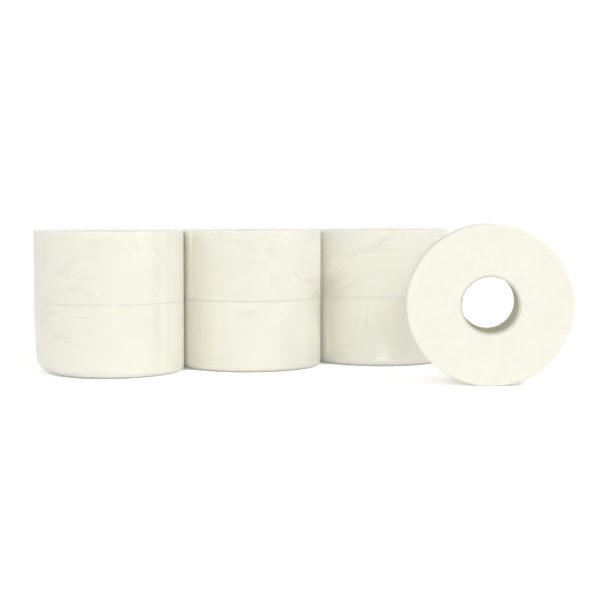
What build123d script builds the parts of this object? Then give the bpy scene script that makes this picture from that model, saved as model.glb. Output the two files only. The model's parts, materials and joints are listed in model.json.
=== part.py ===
from build123d import *
import math
import os

os.makedirs("parts", exist_ok=True)

# Wound paper of the packed rolls, which the film draws a little tighter than a free roll
packed_diameter = 187.0
roll_width = 88.0
press_depth = 0.5  # each roll is pressed flat by this much where the next stack meets it
paper_edge_radius = 2.0
standing_edge_radius = 6.0  # lower edge of the bottom rolls, rounded by the pack's weight

# Cardboard core, as long as its roll
core_diameter = 68.0
core_wall = 1.5
core_clearance = 0.05

# Clear film round the pack
film_thickness = 0.4
film_clearance = 0.3
valley_radius = 10.0  # film drawn into the valley between two stacks

# Roll standing on its edge in front of the pack, a little wider than it is high
loose_width = 193.5
loose_height = 186.0
loose_flat_depth = 0.6  # the soft roll settles by this much, which makes its flat spot
loose_turn = 26.0  # degrees from the pack's depth towards its right end
loose_gap = 92.0  # from the pack's front to the roll's nearest corner
loose_shift = 20.0  # from the right stack's middle to the roll's middle

stack_names = ["left", "middle", "right"]
layer_names = ["bottom", "top"]

packed_radius = packed_diameter / 2
stack_pitch = packed_diameter - 2 * press_depth
stack_places = [(index - (len(stack_names) - 1) / 2) * stack_pitch for index in range(len(stack_names))]
rolls_height = len(layer_names) * roll_width
core_radius = core_diameter / 2
core_seat_radius = core_radius + core_clearance


def export(part, name):
    part.label = name
    export_step(part, f"parts/{name}.step")


def paper_profile(base, lower_edge):
    """Half section of a standing roll's paper, to be turned about Z."""
    ring_width = packed_radius - core_seat_radius
    with BuildSketch(Plane.XZ) as section:
        with Locations((core_seat_radius, base)):
            Rectangle(ring_width, roll_width, align=(Align.MIN, Align.MIN))
        # the sketch's own Y is the roll's height
        fillet(section.vertices().group_by(Axis.X)[-1].sort_by(Axis.Y)[0], lower_edge)
        fillet(section.vertices().group_by(Axis.Y)[-1].sort_by(Axis.X)[-1], paper_edge_radius)
    return section.sketch


# Packed rolls: three stacks side by side, each pressed flat against the next
for stack_index, stack_name in enumerate(stack_names):
    stack_x = stack_places[stack_index]
    for layer_index, layer_name in enumerate(layer_names):
        base = film_thickness + film_clearance + layer_index * roll_width
        lower_edge = standing_edge_radius if layer_index == 0 else paper_edge_radius

        with BuildPart() as paper:
            add(paper_profile(base, lower_edge))
            revolve(axis=Axis.Z)
            if stack_index > 0:
                split(bisect_by=Plane.YZ.offset(-stack_pitch / 2), keep=Keep.TOP)
            if stack_index < len(stack_names) - 1:
                split(bisect_by=Plane.YZ.offset(stack_pitch / 2), keep=Keep.BOTTOM)
        export(Pos(stack_x, 0, 0) * paper.part, f"{stack_name}_{layer_name}_roll")

        with BuildPart() as core:
            with BuildSketch(Plane.XY.offset(base)):
                with Locations((stack_x, 0)):
                    Circle(core_radius)
                    Circle(core_radius - core_wall, mode=Mode.SUBTRACT)
            extrude(amount=roll_width)
        export(core.part, f"{stack_name}_{layer_name}_core")


# Film: one closed skin over all the packed rolls
film_reach = film_clearance + film_thickness


def film_block(reach):
    """Solid block that stands clear of the packed rolls by the reach, with soft valleys and edges."""
    with BuildPart() as block:
        with BuildSketch(Plane.XY.offset(film_reach - reach)) as outline:
            with Locations(*[(x, 0) for x in stack_places]):
                Circle(packed_radius + reach)
            # the circles cross beside the row's axis, where the valleys' corners are
            corners = outline.vertices().filter_by(lambda vertex: abs(vertex.Y) > 1)
            fillet(corners, valley_radius + film_reach - reach)
        extrude(amount=rolls_height + 2 * reach)
        fillet(block.edges().group_by(Axis.Z)[0], standing_edge_radius + reach)
        fillet(block.edges().group_by(Axis.Z)[-1], paper_edge_radius + reach)
    return block.part


film_outside = film_block(film_reach)
film_inside = film_block(film_clearance)

with BuildPart() as film:
    add(film_outside)
    add(film_inside, mode=Mode.SUBTRACT)
export(film.part, "film_wrap")


# Loose roll: drawn on an upright plane that faces the way the roll's near end faces
turn = math.radians(loose_turn)
half_depth = roll_width / 2 * math.cos(turn) + loose_width / 2 * math.sin(turn)
loose_x = stack_places[-1] + loose_shift
loose_y = -(packed_radius + film_reach + loose_gap + half_depth)
half_height = (loose_height + loose_flat_depth) / 2
loose_axle_height = half_height - loose_flat_depth
near_end = Plane(
    origin=(loose_x, loose_y, loose_axle_height),
    x_dir=(math.cos(turn), -math.sin(turn), 0),
    z_dir=(-math.sin(turn), -math.cos(turn), 0),
)

with BuildPart() as loose_paper:
    with BuildSketch(near_end):
        Ellipse(loose_width / 2, half_height)
    extrude(amount=roll_width / 2, both=True)
    fillet(loose_paper.edges().filter_by(GeomType.ELLIPSE), paper_edge_radius)
    split(bisect_by=Plane.XY, keep=Keep.TOP)
    with BuildSketch(near_end):
        Circle(core_seat_radius)
    extrude(amount=roll_width / 2, both=True, mode=Mode.SUBTRACT)
export(loose_paper.part, "loose_roll")

with BuildPart() as loose_core:
    with BuildSketch(near_end):
        Circle(core_radius)
        Circle(core_radius - core_wall, mode=Mode.SUBTRACT)
    extrude(amount=roll_width / 2, both=True)
export(loose_core.part, "loose_roll_core")
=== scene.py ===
"""Looks of a pack of wide toilet paper rolls in clear film, with one more roll standing on its edge in front."""

import json
import math

import bmesh
import bpy
import numpy as np
from bpy.props import FloatProperty, FloatVectorProperty, IntProperty, PointerProperty
from bpy.types import Operator, Panel, PropertyGroup
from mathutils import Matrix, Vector


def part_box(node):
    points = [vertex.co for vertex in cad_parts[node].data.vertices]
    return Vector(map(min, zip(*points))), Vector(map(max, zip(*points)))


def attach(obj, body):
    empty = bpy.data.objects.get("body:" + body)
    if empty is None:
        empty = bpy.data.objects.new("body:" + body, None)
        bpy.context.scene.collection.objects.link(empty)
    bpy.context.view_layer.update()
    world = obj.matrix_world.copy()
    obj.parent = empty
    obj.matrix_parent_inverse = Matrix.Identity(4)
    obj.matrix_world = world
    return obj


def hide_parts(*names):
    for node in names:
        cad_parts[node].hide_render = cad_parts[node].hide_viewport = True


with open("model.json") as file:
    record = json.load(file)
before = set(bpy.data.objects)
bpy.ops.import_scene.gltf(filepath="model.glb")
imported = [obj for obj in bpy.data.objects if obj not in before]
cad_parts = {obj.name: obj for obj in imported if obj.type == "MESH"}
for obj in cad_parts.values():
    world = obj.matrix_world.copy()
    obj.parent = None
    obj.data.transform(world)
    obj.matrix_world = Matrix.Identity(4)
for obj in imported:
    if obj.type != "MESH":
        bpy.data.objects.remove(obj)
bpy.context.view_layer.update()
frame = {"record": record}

bl_info = {
    "name": "Toilet Paper Roll Pack",
    "version": (1, 0, 0),
    "blender": (4, 5, 0),
    "location": "View3D > Sidebar > Roll Pack",
    "description": "Builds the tissue, the cardboard cores, the clear film and the stage of a roll pack",
    "category": "Object",
}

MM = 0.001

STACKS = ("left", "middle", "right")
LAYERS = ("bottom", "top")
PACK_LOW, PACK_HIGH = (np.array(corner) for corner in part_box("film_wrap"))
MIDDLE_LOW, MIDDLE_HIGH = (np.array(corner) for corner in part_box("middle_bottom_roll"))
CORE_LOW, CORE_HIGH = (np.array(corner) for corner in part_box("middle_bottom_core"))
ROLL_RADIUS = float(MIDDLE_HIGH[1] - MIDDLE_LOW[1]) / 2
PITCH = float(MIDDLE_HIGH[0] - MIDDLE_LOW[0])
CORE_RADIUS = float(CORE_HIGH[0] - CORE_LOW[0]) / 2
BORE = next(mount for mount in frame["record"]["mounts"] if mount["name"] == "roll_core")
BORE_RADIUS = BORE["dims"]["r_mm"] * MM

# Share of light that the film mirrors head on, and what is added to it at a glancing angle
FILM_GLOSS = 0.07
FILM_GLANCE = 0.6


def stack_x(stack):
    """Middle of a stack along the row, from its core."""
    low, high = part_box(f"{stack}_bottom_core")
    return (low.x + high.x) / 2


CENTRES = [stack_x(stack) for stack in STACKS]


# ---------------------------------------------------------------- settings


class TissueSettings(PropertyGroup):
    colour: FloatVectorProperty(
        name="Colour", description="Colour of the tissue", subtype="COLOR", size=3,
        default=(0.92, 0.903, 0.797), min=0, max=1)
    depth: FloatProperty(
        name="Light Depth", description="How far light spreads inside the tissue", unit="LENGTH",
        default=3.0 * MM)
    edge: FloatProperty(
        name="Edge Radius", description="Softness of a roll's edges", unit="LENGTH", default=2.0 * MM)
    standing_edge: FloatProperty(
        name="Standing Edge Radius", description="Softness of the lower edge of the bottom rolls",
        unit="LENGTH", default=6.0 * MM)
    slump: FloatProperty(
        name="Slump", description="How far the left end's bottom roll is pushed in at its foot",
        unit="LENGTH", default=5.0 * MM)
    corner: FloatProperty(
        name="Corner", description="How much softer the left end's lower edge is", unit="LENGTH",
        default=12.0 * MM)
    dent: FloatProperty(
        name="Dent", description="Depth of the pressed place on the loose roll", unit="LENGTH",
        default=1.6 * MM)
    dent_turn: FloatProperty(
        name="Dent Turn", description="Where the loose roll is pressed, round its axis", unit="ROTATION",
        default=math.radians(-33))
    columns: IntProperty(name="Columns", description="Mesh columns round a roll", default=288)


class BoardSettings(PropertyGroup):
    colour: FloatVectorProperty(
        name="Colour", description="Colour of the cardboard core", subtype="COLOR", size=3,
        default=(0.74, 0.72, 0.61), min=0, max=1)
    seam_pitch: FloatProperty(
        name="Seam Pitch", description="Rise of the spiral seam in one turn", unit="LENGTH", default=0.074)
    columns: IntProperty(name="Columns", description="Mesh columns round a core", default=128)


class FilmSettings(PropertyGroup):
    clearance: FloatProperty(
        name="Clearance", description="Distance from the tissue to the film", unit="LENGTH",
        default=0.5 * MM)
    valley: FloatProperty(
        name="Valley Radius", description="Radius of the film where it is drawn in between two stacks",
        unit="LENGTH", default=10.0 * MM)
    step: FloatProperty(
        name="Mesh Step", description="Distance between the mesh columns", unit="LENGTH", default=1.6 * MM)
    back_step: FloatProperty(
        name="Back Step", description="Distance between the mesh columns at the back", unit="LENGTH",
        default=3.0 * MM)
    bridge: FloatProperty(
        name="Bridge Radius", description="Radius of the film where it spans the valley by the right stack",
        unit="LENGTH", default=210.0 * MM)
    lap: FloatProperty(
        name="Lap", description="Half width of the sealed lap under the pack", unit="LENGTH",
        default=10.0 * MM)
    roughness: FloatProperty(
        name="Roughness", description="Roughness of the film's gloss", default=0.12, min=0, max=1)
    haze: FloatProperty(
        name="Haze", description="How much light the film scatters", default=0.005, min=0, max=1)


class StageSettings(PropertyGroup):
    lens: FloatProperty(name="Lens", description="Focal length on a 36 mm wide sensor", default=78.9)
    camera_place: FloatVectorProperty(
        name="Camera Place", description="Where the camera stands", subtype="TRANSLATION", unit="LENGTH",
        default=(-0.5561, -1.6293, 0.1985))
    camera_turn: FloatProperty(
        name="Camera Turn", description="View direction, turned from the pack's depth to its right end",
        unit="ROTATION", default=math.radians(21.06))
    camera_dip: FloatProperty(
        name="Camera Dip", description="How far the camera looks down", unit="ROTATION",
        default=math.radians(3.78))
    ambient: FloatProperty(name="Ambient", description="Light from all round", default=0.62)
    key_power: FloatProperty(name="Key Power", description="Large front light", unit="POWER", default=50.0)
    side_power: FloatProperty(
        name="Side Power", description="Left light; the right one has twice as much", unit="POWER",
        default=50.0)


# ---------------------------------------------------------------- meshes


def grid_mesh(name, points, uv=None, values=None, close_rows=False):
    """Mesh of quads on a grid of points (rows, columns, 3). Columns always close; rows close for a ring.

    uv (rows, columns, 2) becomes the UV map, and each entry of values a float attribute on the points.
    Row index grows upwards on the outside and column index runs anticlockwise, so faces point outwards.
    """
    rows, columns = points.shape[:2]
    index = np.arange(rows * columns).reshape(rows, columns)
    if close_rows:
        index = np.vstack([index, index[:1]])
    index = np.hstack([index, index[:, :1]])
    quads = np.stack([index[:-1, :-1], index[:-1, 1:], index[1:, 1:], index[1:, :-1]], axis=-1)
    quads = quads.reshape(-1, 4)
    mesh = bpy.data.meshes.new(name)
    mesh.vertices.add(rows * columns)
    mesh.vertices.foreach_set("co", points.astype(np.float32).ravel())
    mesh.loops.add(quads.size)
    mesh.loops.foreach_set("vertex_index", quads.astype(np.int32).ravel())
    mesh.polygons.add(len(quads))
    mesh.polygons.foreach_set("loop_start", np.arange(0, quads.size, 4, dtype=np.int32))
    mesh.update()
    if uv is not None:
        # the seam column and row take the value they would reach, not the one they start from
        beyond = uv[:, :1] + (uv[:, -1:] - uv[:, -2:-1]) + (uv[:, -1:] - uv[:, :1])
        wide = np.concatenate([uv, beyond], axis=1)
        if close_rows:
            wide = np.concatenate([wide, wide[-1:] + (wide[-1:] - wide[-2:-1])], axis=0)
        corners = np.stack([wide[:-1, :-1], wide[:-1, 1:], wide[1:, 1:], wide[1:, :-1]], axis=2)
        mesh.uv_layers.new(name="surface").data.foreach_set("uv", corners.astype(np.float32).ravel())
    for label, value in (values or {}).items():
        layer = mesh.attributes.new(label, "FLOAT", "POINT")
        layer.data.foreach_set("value", np.broadcast_to(value, (rows, columns)).astype(np.float32).ravel())
    mesh.shade_smooth()
    return mesh


def add_piece(name, mesh, material, slot, *nodes):
    """Object of that mesh, riding on the pack's one body in place of its CAD nodes."""
    piece = bpy.data.objects.new(name, mesh)
    bpy.context.scene.collection.objects.link(piece)
    mesh.materials.append(material)
    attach(piece, "root")
    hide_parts(*nodes)
    return piece


def ring_profile(low, high, lower_edge, upper_edge, side_rows, end_rows, arc_rows=7):
    """Stations along a ring's section: columns of share across the wall, inset by the edge, height and end.

    They run up the outside from the lower edge's start, in over the top end, down the hole and out again
    under the bottom end. A station's height is low + lift * (high - low) + low_rise * lower_edge
    - high_drop * upper_edge, and its inset is low_inset * lower_edge + high_inset * upper_edge. Round an
    edge these factors are 1 less the sine or the cosine of a quarter turn. End is 1 on the two ends.
    """
    quarter = np.linspace(0, np.pi / 2, arc_rows)
    one = np.ones_like
    side = np.linspace(0, 1, side_rows)[1:-1]
    end = np.linspace(0, 1, end_rows)[1:]
    hole = np.linspace(0, 1, 6)[1:]
    under = np.linspace(0, 1, end_rows)[1:-1]
    zero = np.zeros_like
    share = np.concatenate([one(quarter), one(side), one(quarter), 1 - end, zero(hole), under])
    low_inset = np.concatenate(
        [1 - np.sin(quarter), zero(side), zero(quarter), zero(end), zero(hole), one(under)])
    high_inset = np.concatenate(
        [zero(quarter), zero(side), 1 - np.cos(quarter), one(end), zero(hole), zero(under)])
    lift = np.concatenate(
        [zero(quarter), side, one(quarter), one(end), 1 - hole, zero(under)])
    low_rise = np.concatenate(
        [1 - np.cos(quarter), 1 - side, zero(quarter), zero(end), zero(hole), zero(under)])
    high_drop = np.concatenate(
        [zero(quarter), side, 1 - np.sin(quarter), zero(end), zero(hole), zero(under)])
    is_end = np.concatenate(
        [zero(quarter), zero(side), zero(quarter), one(end), zero(hole), one(under)])
    share, low_inset, high_inset, lift, low_rise, high_drop, is_end = (
        part[:, None] for part in (share, low_inset, high_inset, lift, low_rise, high_drop, is_end))
    height = low + (high - low) * lift + low_rise * lower_edge - high_drop * upper_edge
    return share, low_inset * lower_edge + high_inset * upper_edge, height, is_end


def ring_surface(radius, hole, low, high, lower_edge, upper_edge, columns, side_rows=26, end_rows=22):
    """Closed ring round Z: a rectangular section with two rounded outer corners, carried round the axis.

    radius, hole and the edge radii are numbers or arrays over the angle. Returns local points, the UV map
    in metres (length round the outside, length along the section), the angle and a mask of the two ends.
    """
    angle = np.arange(columns) * 2 * np.pi / columns
    outer, inner, lower, upper = (
        np.broadcast_to(value, (columns,)) for value in (radius, hole, lower_edge, upper_edge))
    share, inset, height, is_end = ring_profile(low, high, lower, upper, side_rows, end_rows)
    outer_here = outer[None, :] - inset
    distance = inner[None, :] + (outer_here - inner[None, :]) * share
    height = np.broadcast_to(height, distance.shape)
    points = np.stack([distance * np.cos(angle), distance * np.sin(angle), height], -1)
    steps = np.hypot(np.diff(distance.mean(1)), np.diff(height.mean(1)))
    along = np.concatenate([[0], np.cumsum(steps)])
    around = angle * float(np.mean(outer))
    uv = np.stack(np.broadcast_arrays(around[None, :], along[:, None]), -1)
    return points, uv, angle, is_end


def waves(u, v, seed, size, count=9):
    """Smooth seeded ripple of u and v: a sum of sines, wavelengths near size, between about -1 and 1."""
    rng = np.random.default_rng(seed)
    total = np.zeros(np.broadcast_shapes(np.shape(u), np.shape(v)))
    for _ in range(count):
        heading = rng.uniform(0, np.pi)
        wave = 2 * np.pi / (size * rng.uniform(0.6, 1.8))
        along = u * np.cos(heading) + v * np.sin(heading)
        total = total + np.sin(wave * along + rng.uniform(0, 2 * np.pi))
    return total / math.sqrt(2 * count)


# ---------------------------------------------------------------- materials


def new_material(name):
    """Material with a cleared tree; returns it with its nodes, links and output."""
    material = bpy.data.materials.new(name)
    material.use_nodes = True
    nodes, links = material.node_tree.nodes, material.node_tree.links
    nodes.clear()
    return material, nodes, links, nodes.new("ShaderNodeOutputMaterial")


def math_node(nodes, links, operation, *values, clamp=False):
    """Math node of numbers and sockets."""
    node = nodes.new("ShaderNodeMath")
    node.operation = operation
    node.use_clamp = clamp
    for socket, value in zip(node.inputs, values):
        if isinstance(value, bpy.types.NodeSocket):
            links.new(value, socket)
        else:
            socket.default_value = value
    return node.outputs[0]


def colour_mix(nodes, links, factor, first, second):
    """Mix of two colours by a factor socket."""
    node = nodes.new("ShaderNodeMix")
    node.data_type = "RGBA"
    links.new(factor, node.inputs[0])
    for socket, value in ((node.inputs[6], first), (node.inputs[7], second)):
        if isinstance(value, bpy.types.NodeSocket):
            links.new(value, socket)
        else:
            socket.default_value = (*value, 1)
    return node.outputs[2]


def noise(nodes, links, vector, scale, detail=2.0, stretch=None):
    """Noise texture on a vector, which a Mapping node may stretch; returns its factor."""
    if stretch:
        mapping = nodes.new("ShaderNodeMapping")
        mapping.inputs["Scale"].default_value = stretch
        links.new(vector, mapping.inputs["Vector"])
        vector = mapping.outputs[0]
    texture = nodes.new("ShaderNodeTexNoise")
    texture.inputs["Scale"].default_value = scale
    texture.inputs["Detail"].default_value = detail
    links.new(vector, texture.inputs["Vector"])
    return texture.outputs[0]


def tissue_group():
    """Node group of tissue: embossed dots and fibres on the side, the edges of the wound turns on the ends.

    Side height = dots at a 3.4 mm pitch, as the product of two sines, plus fibre noise. End height = noise
    stretched along the turns, so that it reads as fine rings. Shade is a slow mottle of the colour.
    """
    group = bpy.data.node_groups.new("Tissue Relief", "ShaderNodeTree")
    group.interface.new_socket("Surface", in_out="INPUT", socket_type="NodeSocketVector")
    group.interface.new_socket("End", in_out="INPUT", socket_type="NodeSocketFloat")
    group.interface.new_socket("Height", in_out="OUTPUT", socket_type="NodeSocketFloat")
    group.interface.new_socket("Shade", in_out="OUTPUT", socket_type="NodeSocketFloat")
    nodes, links = group.nodes, group.links
    given = nodes.new("NodeGroupInput")
    result = nodes.new("NodeGroupOutput")
    surface, end = given.outputs[0], given.outputs[1]
    split = nodes.new("ShaderNodeSeparateXYZ")
    links.new(surface, split.inputs[0])
    wave = 2 * math.pi / (3.4 * MM)
    across = math_node(nodes, links, "SINE", math_node(nodes, links, "MULTIPLY", split.outputs[0], wave))
    upward = math_node(nodes, links, "SINE", math_node(nodes, links, "MULTIPLY", split.outputs[1], wave))
    dots = math_node(nodes, links, "MULTIPLY", across, upward)
    fibres = noise(nodes, links, surface, 1400, 3.0)
    side = math_node(nodes, links, "MULTIPLY_ADD", dots, 0.16, fibres)
    turns = noise(nodes, links, surface, 1.0, 3.0, stretch=(25, 2600, 1))
    bands = noise(nodes, links, surface, 1.0, 1.0, stretch=(9, 420, 1))
    rings = math_node(nodes, links, "MULTIPLY_ADD", bands, 0.6, turns)
    blend = nodes.new("ShaderNodeMix")
    links.new(end, blend.inputs[0])
    links.new(side, blend.inputs[2])
    links.new(rings, blend.inputs[3])
    links.new(blend.outputs[0], result.inputs[0])
    mottle = noise(nodes, links, surface, 38, 2.0)
    ring_tone = math_node(nodes, links, "MULTIPLY", bands, end)
    links.new(math_node(nodes, links, "MULTIPLY_ADD", ring_tone, 0.5, mottle), result.inputs[1])
    return group


def tissue_material(settings):
    """Soft, matt, slightly fuzzy cream-white tissue."""
    material, nodes, links, output = new_material("soft tissue")
    shader = nodes.new("ShaderNodeBsdfPrincipled")
    links.new(shader.outputs[0], output.inputs[0])
    uv = nodes.new("ShaderNodeUVMap")
    uv.uv_map = "surface"
    end = nodes.new("ShaderNodeAttribute")
    end.attribute_name = "end"
    relief = nodes.new("ShaderNodeGroup")
    relief.node_tree = tissue_group()
    links.new(uv.outputs[0], relief.inputs["Surface"])
    links.new(end.outputs["Fac"], relief.inputs["End"])
    base = np.array(settings.colour)
    shade = math_node(nodes, links, "MULTIPLY_ADD", relief.outputs["Shade"], 1.6, -0.35, clamp=True)
    darker, lighter = base * (0.965, 0.965, 0.95), np.minimum(base * (1.015, 1.015, 1.02), 1)
    tone = colour_mix(nodes, links, shade, tuple(darker), tuple(lighter))
    links.new(tone, shader.inputs["Base Color"])
    shader.inputs["Roughness"].default_value = 0.92
    shader.inputs["Specular IOR Level"].default_value = 0.2
    shader.inputs["Subsurface Weight"].default_value = 0.5
    shader.inputs["Subsurface Radius"].default_value = (1.0, 0.95, 0.8)
    shader.inputs["Subsurface Scale"].default_value = settings.depth
    shader.inputs["Sheen Weight"].default_value = 0.12
    shader.inputs["Sheen Roughness"].default_value = 0.6
    bump = nodes.new("ShaderNodeBump")
    bump.inputs["Strength"].default_value = 0.5
    bump.inputs["Distance"].default_value = 0.25 * MM
    links.new(relief.outputs["Height"], bump.inputs["Height"])
    links.new(bump.outputs[0], shader.inputs["Normal"])
    return material


def board_material(settings):
    """Grey-beige board with fibres, flecks and the dark line of the spiral seam.

    The seam's value is angle / full turn - height / pitch, and the line is where its fraction is a half.
    """
    material, nodes, links, output = new_material("core board")
    shader = nodes.new("ShaderNodeBsdfPrincipled")
    links.new(shader.outputs[0], output.inputs[0])
    uv = nodes.new("ShaderNodeUVMap")
    uv.uv_map = "surface"
    turn = nodes.new("ShaderNodeAttribute")
    turn.attribute_name = "seam"
    phase = math_node(nodes, links, "FRACT", turn.outputs["Fac"])
    apart = math_node(nodes, links, "ABSOLUTE", math_node(nodes, links, "SUBTRACT", phase, 0.5))
    seam = math_node(nodes, links, "LESS_THAN", apart, 0.012)
    fibres = noise(nodes, links, uv.outputs[0], 1.0, 4.0, stretch=(220, 900, 1))
    flecks = noise(nodes, links, uv.outputs[0], 700, 1.0)
    fleck = math_node(nodes, links, "GREATER_THAN", flecks, 0.68)
    base = np.array(settings.colour)
    tone = colour_mix(nodes, links, fibres, tuple(base * 0.86), tuple(base * 1.12))
    for mask, weight, shade in ((fleck, 0.35, (0.62, 0.6, 0.58)), (seam, 0.5, 0.45)):
        amount = math_node(nodes, links, "MULTIPLY", mask, weight)
        tone = colour_mix(nodes, links, amount, tone, tuple(base * shade))
    links.new(tone, shader.inputs["Base Color"])
    shader.inputs["Roughness"].default_value = 0.8
    shader.inputs["Specular IOR Level"].default_value = 0.3
    height = math_node(nodes, links, "MULTIPLY_ADD", seam, -1.2, fibres)
    bump = nodes.new("ShaderNodeBump")
    bump.inputs["Strength"].default_value = 0.4
    bump.inputs["Distance"].default_value = 0.2 * MM
    links.new(height, bump.inputs["Height"])
    links.new(bump.outputs[0], shader.inputs["Normal"])
    return material


def film_material(settings):
    """Clear glossy film: a mirror layer that grows at a glancing angle over a layer that is almost clear.

    The lower layer turns hazy at the sealed lap, and along the folds it turns a darker cream, which is
    painted shade along the folds. The bump is a slow ripple less fine ridges, which lie where a stretched
    noise is far from its middle and the film is crinkled.
    """
    material, nodes, links, output = new_material("clear film")
    clear = nodes.new("ShaderNodeBsdfTransparent")
    clear.inputs[0].default_value = (1, 1, 1, 1)
    # hazy at the sealed lap; its darker cream along the folds is painted shade
    haze_and_shade = nodes.new("ShaderNodeBsdfPrincipled")
    haze_and_shade.inputs["Base Color"].default_value = (0.9, 0.88, 0.8, 1)
    haze_and_shade.inputs["Roughness"].default_value = 0.5
    gloss = nodes.new("ShaderNodeBsdfGlossy")
    gloss.inputs["Color"].default_value = (1, 1, 1, 1)
    gloss.inputs["Roughness"].default_value = settings.roughness
    weight = nodes.new("ShaderNodeLayerWeight")
    weight.inputs["Blend"].default_value = 0.5
    coordinates = nodes.new("ShaderNodeTexCoord")
    where = coordinates.outputs["Object"]
    slow = noise(nodes, links, where, 34, 1.0)
    streaks = noise(nodes, links, where, 1.0, 2.0, stretch=(85, 85, 330))
    ridge = math_node(nodes, links, "ABSOLUTE", math_node(nodes, links, "SUBTRACT", streaks, 0.5))
    crinkle = nodes.new("ShaderNodeAttribute")
    crinkle.attribute_name = "crinkle"
    fine = math_node(nodes, links, "MULTIPLY", ridge, crinkle.outputs["Fac"])
    bump = nodes.new("ShaderNodeBump")
    bump.inputs["Strength"].default_value = 0.5
    bump.inputs["Distance"].default_value = 0.8 * MM
    links.new(math_node(nodes, links, "MULTIPLY_ADD", fine, -22.0, slow), bump.inputs["Height"])
    for target in (gloss.inputs["Normal"], haze_and_shade.inputs["Normal"], weight.inputs["Normal"]):
        links.new(bump.outputs[0], target)
    seal = nodes.new("ShaderNodeAttribute")
    seal.attribute_name = "seal"
    hazed_and_shaded = nodes.new("ShaderNodeMixShader")
    crease_shade = nodes.new("ShaderNodeAttribute")
    crease_shade.attribute_name = "crease_shade"
    # the lap's real haze, plus painted shade along the folds, weighted by the fold attribute
    haze_and_shade_share = math_node(nodes, links, "MULTIPLY_ADD", seal.outputs["Fac"], 0.25, settings.haze)
    haze_and_shade_share = math_node(nodes, links, "MULTIPLY_ADD", crease_shade.outputs["Fac"], 0.07, haze_and_shade_share)
    links.new(haze_and_shade_share, hazed_and_shaded.inputs[0])
    links.new(clear.outputs[0], hazed_and_shaded.inputs[1])
    links.new(haze_and_shade.outputs[0], hazed_and_shaded.inputs[2])
    skin = nodes.new("ShaderNodeMixShader")
    # the fifth power of the facing value, which is the same from both sides of the film
    glance = math_node(nodes, links, "POWER", weight.outputs["Facing"], 5.0)
    links.new(math_node(nodes, links, "MULTIPLY_ADD", glance, FILM_GLANCE, FILM_GLOSS), skin.inputs[0])
    links.new(hazed_and_shaded.outputs[0], skin.inputs[1])
    links.new(gloss.outputs[0], skin.inputs[2])
    links.new(skin.outputs[0], output.inputs[0])
    return material


# ---------------------------------------------------------------- pieces


def slump_lobe(azimuth):
    """1 at the pack's left end, falling to 0 round the left stack; azimuth in radians about the stack."""
    away = np.pi - np.abs((azimuth + np.pi) % (2 * np.pi) - np.pi)
    return np.exp(-((away / math.radians(48)) ** 2))


def slump_at(height, amount, lobe):
    """Inward push of the left bottom roll's foot: the amount at the floor, fading out 75 mm up."""
    return amount * lobe * np.clip(1 - (height - PACK_LOW[2]) / 0.075, 0, 1) ** 2


class ROLLPACK_OT_packed_rolls(Operator):
    """Build the six packed rolls: rings pressed flat where the stacks meet"""
    bl_idname = "rollpack.packed_rolls"
    bl_label = "Packed Rolls"

    def execute(self, context):
        settings = context.scene.rollpack_tissue
        material = bpy.data.materials.get("soft tissue") or tissue_material(settings)
        for stack_index, stack in enumerate(STACKS):
            for layer_index, layer in enumerate(LAYERS):
                node = f"{stack}_{layer}_roll"
                low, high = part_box(node)
                seed = 10 * stack_index + layer_index
                columns = settings.columns
                angle = np.arange(columns) * 2 * np.pi / columns
                lobe = slump_lobe(angle) if node == "left_bottom_roll" else np.zeros(columns)
                edge = settings.edge * {"left": 0.3, "middle": 0.6, "right": 0.1}[stack]
                lower = (settings.standing_edge if layer == "bottom" else edge) + settings.corner * lobe
                points, uv, angle, is_end = ring_surface(
                    ROLL_RADIUS, CORE_RADIUS, low.z, high.z, lower, edge, columns)
                plain = points[..., :2] / np.linalg.norm(points[..., :2], axis=-1, keepdims=True)
                distance = np.linalg.norm(points[..., :2], axis=-1)
                share = np.clip((distance - CORE_RADIUS) / 0.02, 0, 1)
                dished = share * np.clip((ROLL_RADIUS - distance) / 0.01, 0, 1)
                ripple = waves(uv[..., 0], uv[..., 1], seed, 0.12) * 0.12 * MM - 0.12 * MM
                push = slump_at(points[..., 2], settings.slump, lobe[None, :])
                points[..., :2] += plain * ((ripple - push) * share)[..., None]
                dish = waves(points[..., 0], points[..., 1], seed + 100, 0.05) * 0.15 * MM
                towards = np.sign((low.z + high.z) / 2 - points[..., 2])
                points[..., 2] += is_end * towards * (0.2 * MM + dish) * dished
                left = -PITCH / 2 if stack_index > 0 else -1
                right = PITCH / 2 if stack_index < len(STACKS) - 1 else 1
                points[..., 0] = np.clip(points[..., 0], left, right) + CENTRES[stack_index]
                mesh = grid_mesh(node, points, uv, {"end": is_end}, close_rows=True)
                add_piece(f"tissue_{stack}_{layer}", mesh, material, "tissue", node)
        return {"FINISHED"}


def standing_frame():
    """Axes of the loose roll: across its face, up, and out of its near end, with its middle."""
    near = np.array(BORE["axis"], float)
    near /= np.linalg.norm(near)
    up = np.array((0.0, 0.0, 1.0))
    return np.cross(up, near), up, near, np.array(BORE["pos_m"], float)


def stand(points):
    """Points made round Z, turned so that Z comes out of the loose roll's near end."""
    across, up, near, middle = standing_frame()
    return middle + points @ np.array([across, up, near])


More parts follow.
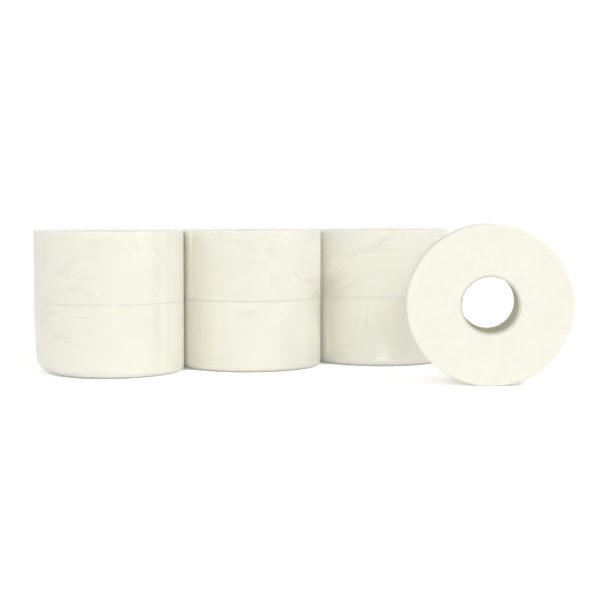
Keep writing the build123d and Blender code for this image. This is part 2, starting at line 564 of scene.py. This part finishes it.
class ROLLPACK_OT_loose_roll(Operator):
    """Build the loose roll: a slightly oval ring with a small flat spot where it stands"""
    bl_idname = "rollpack.loose_roll"
    bl_label = "Loose Roll"

    def execute(self, context):
        settings = context.scene.rollpack_tissue
        material = bpy.data.materials.get("soft tissue") or tissue_material(settings)
        low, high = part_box("loose_roll")
        _, _, near, middle = standing_frame()
        length = BORE["dims"]["length_mm"] * MM
        turn = abs(near[1])
        half_width = ((high.x - low.x) - length * abs(near[0])) / 2 / turn + 0.35 * MM
        half_height = high.z - middle[2]
        columns = settings.columns
        angle = np.arange(columns) * 2 * np.pi / columns
        oval = 1 / np.sqrt((np.cos(angle) / half_width) ** 2 + (np.sin(angle) / half_height) ** 2)
        off = (angle - settings.dent_turn + np.pi) % (2 * np.pi) - np.pi
        oval = oval - settings.dent * np.exp(-((off / math.radians(17)) ** 2))
        points, uv, angle, is_end = ring_surface(
            oval, CORE_RADIUS, -length / 2, length / 2, settings.edge, settings.edge, columns,
            side_rows=30, end_rows=40)
        distance = np.linalg.norm(points[..., :2], axis=-1)
        share = np.clip((distance - CORE_RADIUS) / 0.03, 0, 1)
        ripple = (waves(uv[..., 0], uv[..., 1], 71, 0.15) - 1.2) * 0.2 * MM * share
        points[..., :2] *= (1 + ripple / distance)[..., None]
        rim = (distance - CORE_RADIUS) / (half_width - CORE_RADIUS)
        ripples = waves(distance, angle[None, :] * 0.004, 73, 0.011) * 0.1 * MM
        mottle = waves(points[..., 0], points[..., 1], 72, 0.06) * 0.3 * MM
        dish = 0.6 * MM * np.sin(np.pi * np.clip(rim, 0, 1)) + mottle + ripples
        points[..., 2] -= is_end * np.sign(points[..., 2]) * np.maximum(dish, 0) * share
        points[..., 1] = np.maximum(points[..., 1], -middle[2] + 0.05 * MM)
        mesh = grid_mesh("loose_roll", stand(points), uv, {"end": is_end}, close_rows=True)
        add_piece("tissue_loose", mesh, material, "tissue", "loose_roll")
        return {"FINISHED"}


class ROLLPACK_OT_cores(Operator):
    """Build the cardboard cores: thin rings with a spiral seam"""
    bl_idname = "rollpack.cores"
    bl_label = "Cores"

    def execute(self, context):
        settings = context.scene.rollpack_board
        material = board_material(settings)
        names = [f"{stack}_{layer}_core" for stack in STACKS for layer in LAYERS] + ["loose_roll_core"]
        for number, node in enumerate(names):
            loose = node == "loose_roll_core"
            low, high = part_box(node)
            half = BORE["dims"]["length_mm"] * MM / 2
            bottom, top = (-half, half) if loose else (low.z, high.z)
            points, uv, angle, _ = ring_surface(
                CORE_RADIUS - 0.05 * MM, BORE_RADIUS, bottom, top, 0.3 * MM, 0.3 * MM, settings.columns,
                side_rows=12, end_rows=4)
            rise = (points[..., 2] - bottom) / settings.seam_pitch
            seam = angle[None, :] / (2 * np.pi) - rise + 0.37 * number
            # the angle's jump at the first column is a whole turn, which the seam's FRACT doesn't see
            points = stand(points) if loose else points + ((low.x + high.x) / 2, 0, 0)
            mesh = grid_mesh(node, points, uv, {"seam": seam + 8}, close_rows=True)
            add_piece("board_" + node.replace("_core", ""), mesh, material, "core_board", node)
        return {"FINISHED"}


def pack_outline(reach, valley, step):
    """Front half of the pack's plan at that reach outside the rolls, from the left end to the right end.

    Arcs round each stack, joined by hollow arcs of the valley radius. A hollow arc's middle lies where its
    distance to both stacks is the two radii added. Returns x, y, the outward normal, the stack's number
    (-1 in a valley), the azimuth about the stack and the length along the outline.
    """
    wall = ROLL_RADIUS + reach
    hollow = valley - reach
    lift = math.sqrt((wall + hollow) ** 2 - (PITCH / 2) ** 2)
    opening = math.atan2(lift, PITCH / 2)
    pieces = []
    for number, centre in enumerate(CENTRES):
        start = -np.pi if number == 0 else -np.pi + opening
        stop = 0.0 if number == len(CENTRES) - 1 else -opening
        count = round((stop - start) * wall / step)
        turn = np.linspace(start, stop, count, endpoint=False)
        pieces.append((
            centre + wall * np.cos(turn), wall * np.sin(turn), np.cos(turn), np.sin(turn),
            np.full(count, number), turn, np.full(count, (stop - start) * wall / count)))
        if number < len(CENTRES) - 1:
            count = round((np.pi - 2 * opening) * hollow / step * 1.3)
            turn = np.linspace(np.pi - opening, opening, count, endpoint=False)
            pieces.append((
                centre + PITCH / 2 + hollow * np.cos(turn), -lift + hollow * np.sin(turn),
                -np.cos(turn), -np.sin(turn), np.full(count, -1), turn,
                np.full(count, (np.pi - 2 * opening) * hollow / count)))
    x, y, nx, ny, stack, azimuth, length = (np.concatenate(part) for part in zip(*pieces))
    return x, y, nx, ny, stack, azimuth, np.concatenate([[0], np.cumsum(length)[:-1]])


# Fans of folds on the front: stack, azimuth in degrees and height in mm of the focus, heading and spread in
# degrees, number of folds, start and end from the focus in mm, lift in mm, half width in mm
FRONT_FANS = (
    (0, -154, 140, 14, 34, 6, 26, 84, 0.6, 1.8),
    (0, -146, 130, 8, 40, 7, 2, 44, 0.7, 1.5),
    (0, -138, 112, 4, 20, 5, 0, 36, 0.6, 1.5),
    (0, -112, 124, 170, 22, 4, 0, 30, 0.5, 1.6),
    (0, -108, 106, 176, 16, 4, 0, 34, 0.5, 1.6),
    (0, -77, 152, 128, 16, 3, 2, 32, 1.0, 1.4),
    (0, -62, 150, 130, 10, 2, 0, 26, 0.8, 1.4),
    (0, -64, 102, 152, 8, 2, 0, 19, 0.8, 1.2),
    (0, -120, 169, -8, 34, 5, 2, 40, 0.6, 1.5),
    (0, -174, 176, -88, 16, 8, 2, 80, 0.6, 1.5),
    (0, -160, 176, -84, 20, 5, 4, 60, 0.5, 1.6),
    (0, -160, 92, -66, 24, 3, 4, 38, 0.8, 1.6),
    (0, -164, 66, 20, 30, 6, 4, 48, 0.8, 1.5),
    (0, -152, 50, -2, 20, 5, 0, 54, 0.6, 1.7),
    (0, -128, 78, 2, 12, 3, 0, 40, 0.35, 2.0),
    (0, -110, 30, 4, 16, 3, 0, 60, 0.3, 2.4),
    (1, -76, 158, 172, 32, 7, 8, 80, 0.9, 1.5),
    (1, -76, 150, 184, 26, 5, 10, 60, 0.8, 1.5),
    (1, -100, 166, 176, 16, 4, 0, 50, 0.5, 1.6),
    (1, -144, 134, 0, 3, 2, 0, 66, 0.4, 1.4),
    (1, -149, 88, -93, 6, 2, 0, 58, 1.0, 1.7),
    (1, -116, 80, 0, 10, 4, 0, 32, 0.7, 1.5),
    (1, -146, 22, 1, 5, 3, 0, 76, 0.45, 1.7),
    (1, -74, 130, -28, 5, 1, 0, 20, 1.5, 1.5),
    (1, -64, 121, -4, 12, 3, 0, 52, 0.9, 1.6),
    (1, -92, 136, -84, 40, 6, 2, 50, 0.5, 2.2),
    (1, -60, 96, 6, 14, 2, 0, 60, 0.7, 1.7),
    (2, -176, 110, 42, 8, 4, 2, 70, 1.4, 1.3),
    (2, -172, 100, 36, 16, 3, 8, 80, 1.0, 1.4),
    (2, -178, 160, 24, 8, 1, 0, 34, 1.2, 1.6),
    (2, -178, 151, 22, 8, 1, 0, 34, 1.3, 1.6),
    (2, -179, 142, 20, 8, 1, 0, 34, 1.3, 1.6),
    (2, -180, 133, 18, 8, 1, 0, 34, 1.2, 1.6),
    (2, -181, 124, 14, 8, 1, 0, 30, 1.0, 1.6),
    (2, -172, 96, 24, 36, 5, 6, 76, 0.8, 1.6),
    (2, -132, 156, 14, 24, 7, 0, 60, 0.9, 1.4),
    (2, -146, 146, 30, 20, 4, 0, 50, 0.8, 1.5),
    (2, -140, 118, 24, 24, 4, 4, 64, 0.5, 1.8),
    (2, -122, 86, -88, 18, 5, 0, 50, 0.6, 1.8),
    (2, -152, 27, 9, 4, 1, 0, 34, 0.9, 1.4),
    (2, -184, 76, 24, 8, 2, 0, 44, 0.9, 1.7),
)


def fold_field(u, v, place_of, fans, seed):
    """Height of the folds at (u, v), metres along the outline and up the section.

    Each fold is a line from its fan's focus, bowed a little. Its section is exp(-q^2) less a shallow hollow
    beside it, with q the distance over the half width, and it rises and fades as the sine of its length.
    """
    rng = np.random.default_rng(seed)
    total = np.zeros(u.shape)
    for stack, azimuth, height, heading, spread, count, start, stop, lift, width in fans:
        focus_u = place_of(stack, math.radians(azimuth))
        for number in range(count):
            place = 0.5 if count == 1 else number / (count - 1)
            way = math.radians(heading + spread * (place - 0.5) + rng.uniform(-0.3, 0.3) * spread / count)
            first = start * MM * rng.uniform(0.6, 1.5)
            last = stop * MM * rng.uniform(0.55, 1.1)
            half = width * MM * rng.uniform(0.75, 1.3)
            rise = lift * MM * rng.uniform(0.5, 1.2)
            bow = rng.uniform(-0.07, 0.07) * (last - first)
            du, dv = u - focus_u, v - height * MM
            along = (du * math.cos(way) + dv * math.sin(way) - first) / (last - first)
            across = -du * math.sin(way) + dv * math.cos(way) - bow * 4 * along * (1 - along)
            inside = (along > 0) & (along < 1) & (np.abs(across) < 4 * half)
            if not inside.any():
                continue
            q = across[inside] / half
            fade = np.sin(np.pi * along[inside]) ** 0.6
            total[inside] += rise * fade * (np.exp(-q * q) - 0.35 * np.exp(-((q - 1.8) ** 2) / 0.8))
    return total


def crinkle_field(u, v, place_of, fans):
    """Where the film is crinkled finely: a soft spot round the middle of each fan, at most 1."""
    total = np.zeros(u.shape)
    for stack, azimuth, height, heading, _, count, start, stop, _, _ in fans:
        reach = (start + stop) / 2 * MM
        way = math.radians(heading)
        du = u - place_of(stack, math.radians(azimuth)) - reach * math.cos(way)
        dv = v - height * MM - reach * math.sin(way)
        size = (stop - start) * MM * 0.55 + 6 * MM
        total += 0.18 * count * np.exp(-(du * du + dv * dv) / (size * size))
    return np.minimum(total, 1)


def random_fans(count, seed):
    """Seeded fans of folds for the back, which the front's list doesn't reach."""
    rng = np.random.default_rng(seed)
    return [
        (int(rng.integers(0, 3)), rng.uniform(-150, -35), rng.uniform(20, 165),
         rng.uniform(-25, 25) + 180 * rng.integers(0, 2), rng.uniform(8, 50), int(rng.integers(2, 7)),
         rng.uniform(2, 12), rng.uniform(30, 85), rng.uniform(0.4, 1.0), 2.4)
        for _ in range(count)]


class ROLLPACK_OT_film(Operator):
    """Build the clear film: the pack's outline carried up its section, with folds and a sealed lap"""
    bl_idname = "rollpack.film"
    bl_label = "Film"

    def execute(self, context):
        settings = context.scene.rollpack_film
        tissue = context.scene.rollpack_tissue
        reach = settings.clearance
        wall = ROLL_RADIUS + reach
        front = pack_outline(reach, settings.valley, settings.step)
        rear = pack_outline(reach, settings.valley, settings.back_step)
        total = front[6][-1] + settings.step

        def place_of(number, turn):
            """Length along the outline at an azimuth about a stack."""
            first = int(np.argmax(front[4] == number))
            return float(front[6][first] + (turn - front[5][first]) * wall)

        # the front from left to right, the right end, then the back from right to left
        flip = (1, -1, 1, -1, 1, -1, 1)
        end = (CENTRES[-1] + wall, 0, 1, 0, len(CENTRES) - 1, 0, total)
        xs, ys, nxs, nys, stacks, turns, runs = (
            np.concatenate([first, [last], sign * second[:0:-1]])
            for first, last, sign, second in zip(front, end, flip, rear))
        side = np.concatenate([np.ones(len(front[0])), [1], -np.ones(len(rear[0]) - 1)])
        lobe = np.where(stacks == 0, slump_lobe(turns), 0)

        low, high = PACK_LOW[2] + 0.15 * MM, PACK_HIGH[2] - 0.3 * MM
        lower = tissue.standing_edge + reach + tissue.corner * lobe
        upper = (tissue.edge + reach) * np.ones_like(lobe)
        arc, tall, top, foot = 6, 96, 11, 8
        share, inset, height, _ = ring_profile(low, high, lower, upper, tall, top, arc)
        rows = 2 * arc + tall - 2 + top - 1
        share, inset, height = share[:rows], inset[:rows], height[:rows]
        quarter = np.linspace(0, np.pi / 2, arc)
        on_side = np.concatenate([np.sin(quarter), np.ones(tall - 2), np.cos(quarter), np.zeros(top - 1)])
        upright = np.concatenate([-np.cos(quarter), np.zeros(tall - 2), np.sin(quarter), np.ones(top - 1)])

        # the bridge: a wide hollow arc in front of the right valley, at most of the upper roll's height
        middle = (CENTRES[1] + CENTRES[2]) / 2
        lift = math.sqrt((wall + settings.bridge) ** 2 - (PITCH / 2) ** 2)
        off = np.clip(xs - middle, -settings.bridge * 0.99, settings.bridge * 0.99)
        inside = (side > 0) & (np.abs(off) < PITCH / 2 * settings.bridge / (wall + settings.bridge))
        bridge_y = np.where(inside, np.sqrt(settings.bridge ** 2 - off ** 2) - lift, ys)
        bridge_nx = np.where(inside, -off / settings.bridge, nxs)
        bridge_ny = np.where(inside, (-lift - bridge_y) / settings.bridge, nys)
        ramp = np.clip((height - 84 * MM) / (42 * MM), 0, 1)
        fall = np.clip((height - 158 * MM) / (18 * MM), 0, 1)
        taut = ramp * ramp * (3 - 2 * ramp) * (1 - 0.75 * fall * fall)
        row_nx = nxs + (bridge_nx - nxs) * taut
        row_ny = nys + (bridge_ny - nys) * taut
        size = np.maximum(np.hypot(row_nx, row_ny), 1e-6)
        row_nx, row_ny = row_nx / size, row_ny / size
        outline_y = ys + (bridge_y - ys) * taut

        # the section starts under the pack at the lap, so the bottom's rows go in front of the profile
        anchor_x = np.clip(xs, CENTRES[0], CENTRES[-1])
        anchor_y = settings.lap * side * np.abs(np.sin(np.arctan2(ys, xs - anchor_x)))
        inner_x, inner_y = xs - row_nx * inset, outline_y - row_ny * inset
        under = np.linspace(0, 1, foot)[:-1][:, None] * np.ones_like(lobe)
        px = anchor_x + np.vstack([(inner_x[0] - anchor_x) * under, (inner_x - anchor_x) * share])
        py = np.vstack([anchor_y + (inner_y[0] - anchor_y) * under, inner_y * share])
        pz = np.vstack([np.full(under.shape, low), np.broadcast_to(height, inset.shape)])
        points = np.stack([px, py, pz], -1)
        pad = np.zeros((foot - 1, 1))
        on_side = np.vstack([pad, on_side[:, None]])
        upright = np.vstack([pad - 1, upright[:, None]])
        normal_x = np.vstack([pad + nxs, row_nx]) * on_side
        normal_y = np.vstack([pad + nys, row_ny]) * on_side
        normal = np.stack(np.broadcast_arrays(normal_x, normal_y, upright), -1)

        steps = np.linalg.norm(np.diff(points, axis=0), axis=-1).mean(axis=1)
        along = np.concatenate([[0], np.cumsum(steps)])
        along = along - along[foot - 1] + low
        u = np.broadcast_to(runs, pz.shape)
        v = np.broadcast_to(along[:, None], pz.shape)
        from_ends = np.clip(np.minimum(runs, total - runs) / 0.03, 0, 1)
        back_folds = fold_field(u, v, place_of, random_fans(16, 8), 9) * from_ends
        folds = np.where(side > 0, fold_field(u, v, place_of, FRONT_FANS, 5), back_folds)
        is_top = (upright > 0.99) & (pz > high - 1 * MM)
        is_foot = (upright < -0.99) & (pz < low + 1e-6)
        slack = waves(px, pz + py, 31, 0.06) * 0.25 * MM
        slack += waves(px, pz * 1.3 + py, 32, 0.018) * 0.05 * MM
        gather = waves(px * 2.2, py * 0.6, 33, 0.06) * 0.35 * MM
        gather += waves(px, py, 34, 0.02) * 0.1 * MM
        from_centre = np.min([np.hypot(px - centre, py) for centre in CENTRES], axis=0)
        dimple = -1.6 * MM * np.clip(1 - (from_centre / CORE_RADIUS) ** 2, 0, 1) ** 2
        top_lift = gather * np.clip(from_centre / 0.02, 0, 1) + dimple + 0.3 * MM
        side_lift = np.maximum(folds * np.clip(on_side + 0.35, 0, 1) + slack, -0.3 * MM)
        raised = np.where(is_top, top_lift, np.where(is_foot, 0, side_lift))
        push = slump_at(pz, tissue.slump, lobe) * on_side
        points += normal * (raised - push)[..., None]
        points[..., 2] = np.maximum(points[..., 2], PACK_LOW[2] + 0.1 * MM)
        # the back's sheet lies over the front's along the lap
        near_lap = np.clip(1.5 - np.abs(py) / settings.lap, 0, 1)
        points[..., 2] += np.where(is_foot & (side < 0), 0.2 * MM * near_lap, 0)
        values = {
            "seal": np.where(is_foot, np.minimum(near_lap, 1), 0),
            # painted shade: the film turns darker along the folds, by how far each fold stands out
            "crease_shade": np.clip(np.abs(folds) / (0.7 * MM), 0, 1) ** 1.6 * on_side,
            "crinkle": np.where(side > 0, crinkle_field(u, v, place_of, FRONT_FANS), 0.35) * on_side,
        }
        mesh = grid_mesh("wrap_film", points, None, values)
        work = bmesh.new()
        work.from_mesh(mesh)
        ridge = [vertex for vertex in work.verts if abs(vertex.co.y) < 1e-7 and vertex.co.z > high - 4 * MM]
        bmesh.ops.remove_doubles(work, verts=ridge, dist=0.02 * MM)
        work.to_mesh(mesh)
        work.free()
        piece = add_piece("wrap_film", mesh, film_material(settings), "film", "film_wrap")
        return {"FINISHED"}


# ---------------------------------------------------------------- stage


def softbox(name, place, target, size, power):
    """Rectangular lamp at a place, facing a target."""
    data = bpy.data.lights.new(name, "AREA")
    data.shape = "RECTANGLE"
    data.size, data.size_y = size
    data.energy = power
    lamp = bpy.data.objects.new(name, data)
    bpy.context.scene.collection.objects.link(lamp)
    lamp.location = place
    lamp.rotation_euler = (Vector(target) - Vector(place)).to_track_quat("-Z", "Y").to_euler()
    return lamp


def seen_white(nodes, links):
    """1 for rays from the camera, off a gloss or through glass, else 0."""
    path = nodes.new("ShaderNodeLightPath")
    seen = math_node(nodes, links, "MAXIMUM", path.outputs["Is Camera Ray"], path.outputs["Is Glossy Ray"])
    return math_node(nodes, links, "MAXIMUM", seen, path.outputs["Is Transmission Ray"])


class ROLLPACK_OT_stage(Operator):
    """Set the white floor, the soft light and the camera"""
    bl_idname = "rollpack.stage"
    bl_label = "Stage"

    def execute(self, context):
        settings = context.scene.rollpack_stage
        mesh = bpy.data.meshes.new("floor")
        reach = 12.0
        corners = [(-reach, -reach, 0), (reach, -reach, 0), (reach, reach, 0), (-reach, reach, 0)]
        mesh.from_pydata(corners, [], [(0, 1, 2, 3)])
        floor = bpy.data.objects.new("floor", mesh)
        context.scene.collection.objects.link(floor)
        material, nodes, links, output = new_material("floor white")
        matt = nodes.new("ShaderNodeBsdfDiffuse")
        matt.inputs["Color"].default_value = (0.9, 0.9, 0.9, 1)
        glow = nodes.new("ShaderNodeEmission")
        # the floor glows a little for the camera, and more far off, where the lamps no longer reach
        where = nodes.new("ShaderNodeTexCoord")
        far = nodes.new("ShaderNodeVectorMath")
        far.operation = "LENGTH"
        links.new(where.outputs["Object"], far.inputs[0])
        ramp = math_node(nodes, links, "MULTIPLY_ADD", far.outputs["Value"], 0.25, -0.2, clamp=True)
        glowing = math_node(nodes, links, "MULTIPLY_ADD", ramp, 0.5, 0.4)
        seen = math_node(nodes, links, "MULTIPLY", seen_white(nodes, links), glowing)
        links.new(seen, glow.inputs["Strength"])
        both = nodes.new("ShaderNodeAddShader")
        links.new(matt.outputs[0], both.inputs[0])
        links.new(glow.outputs[0], both.inputs[1])
        links.new(both.outputs[0], output.inputs[0])
        mesh.materials.append(material)

        world = bpy.data.worlds.new("studio")
        world.use_nodes = True
        nodes, links = world.node_tree.nodes, world.node_tree.links
        strength = math_node(
            nodes, links, "MULTIPLY_ADD", seen_white(nodes, links), 1 - settings.ambient, settings.ambient)
        background = nodes["Background"]
        background.inputs["Color"].default_value = (1, 1, 1, 1)
        links.new(strength, background.inputs["Strength"])
        context.scene.world = world

        target = (0, 0, 0.09)
        softbox("front softbox", (-1.93, -5.68, 0.75), target, (1.8, 0.8), settings.key_power)
        softbox("left softbox", (-5.6, -1.9, 1.8), target, (5.0, 0.6), settings.side_power)
        softbox("right softbox", (2.8, -3.7, 3.8), target, (4.0, 0.8), 2 * settings.side_power)

        camera = bpy.data.objects.new("camera", bpy.data.cameras.new("camera"))
        context.scene.collection.objects.link(camera)
        camera.data.sensor_width = 36
        camera.data.lens = settings.lens
        camera.location = settings.camera_place
        camera.rotation_euler = (math.pi / 2 - settings.camera_dip, 0, -settings.camera_turn)
        context.scene.camera = camera
        context.scene.view_settings.view_transform = "Standard"
        return {"FINISHED"}


class ROLLPACK_PT_panel(Panel):
    """Lists the pieces and their settings"""
    bl_idname = "ROLLPACK_PT_panel"
    bl_label = "Roll Pack"
    bl_space_type = "VIEW_3D"
    bl_region_type = "UI"
    bl_category = "Roll Pack"

    def draw(self, context):
        scene = context.scene
        for operator, settings in STEPS:
            box = self.layout.box()
            box.operator(operator.bl_idname)
            group = getattr(scene, settings)
            for name in group.bl_rna.properties.keys():
                if name not in ("rna_type", "name"):
                    box.prop(group, name)


STEPS = (
    (ROLLPACK_OT_stage, "rollpack_stage"),
    (ROLLPACK_OT_packed_rolls, "rollpack_tissue"),
    (ROLLPACK_OT_loose_roll, "rollpack_tissue"),
    (ROLLPACK_OT_cores, "rollpack_board"),
    (ROLLPACK_OT_film, "rollpack_film"),
)
GROUPS = {
    "rollpack_tissue": TissueSettings,
    "rollpack_board": BoardSettings,
    "rollpack_film": FilmSettings,
    "rollpack_stage": StageSettings,
}


def register():
    for group in GROUPS.values():
        bpy.utils.register_class(group)
    for operator, _ in STEPS:
        bpy.utils.register_class(operator)
    bpy.utils.register_class(ROLLPACK_PT_panel)
    for name, group in GROUPS.items():
        setattr(bpy.types.Scene, name, PointerProperty(type=group))


def unregister():
    for name in GROUPS:
        delattr(bpy.types.Scene, name)
    bpy.utils.unregister_class(ROLLPACK_PT_panel)
    for operator, _ in STEPS:
        bpy.utils.unregister_class(operator)
    for group in GROUPS.values():
        bpy.utils.unregister_class(group)


def main():
    register()
    for operator, _ in STEPS:
        package, name = operator.bl_idname.split(".")
        getattr(getattr(bpy.ops, package), name)()


if __name__ == "__main__":
    main()
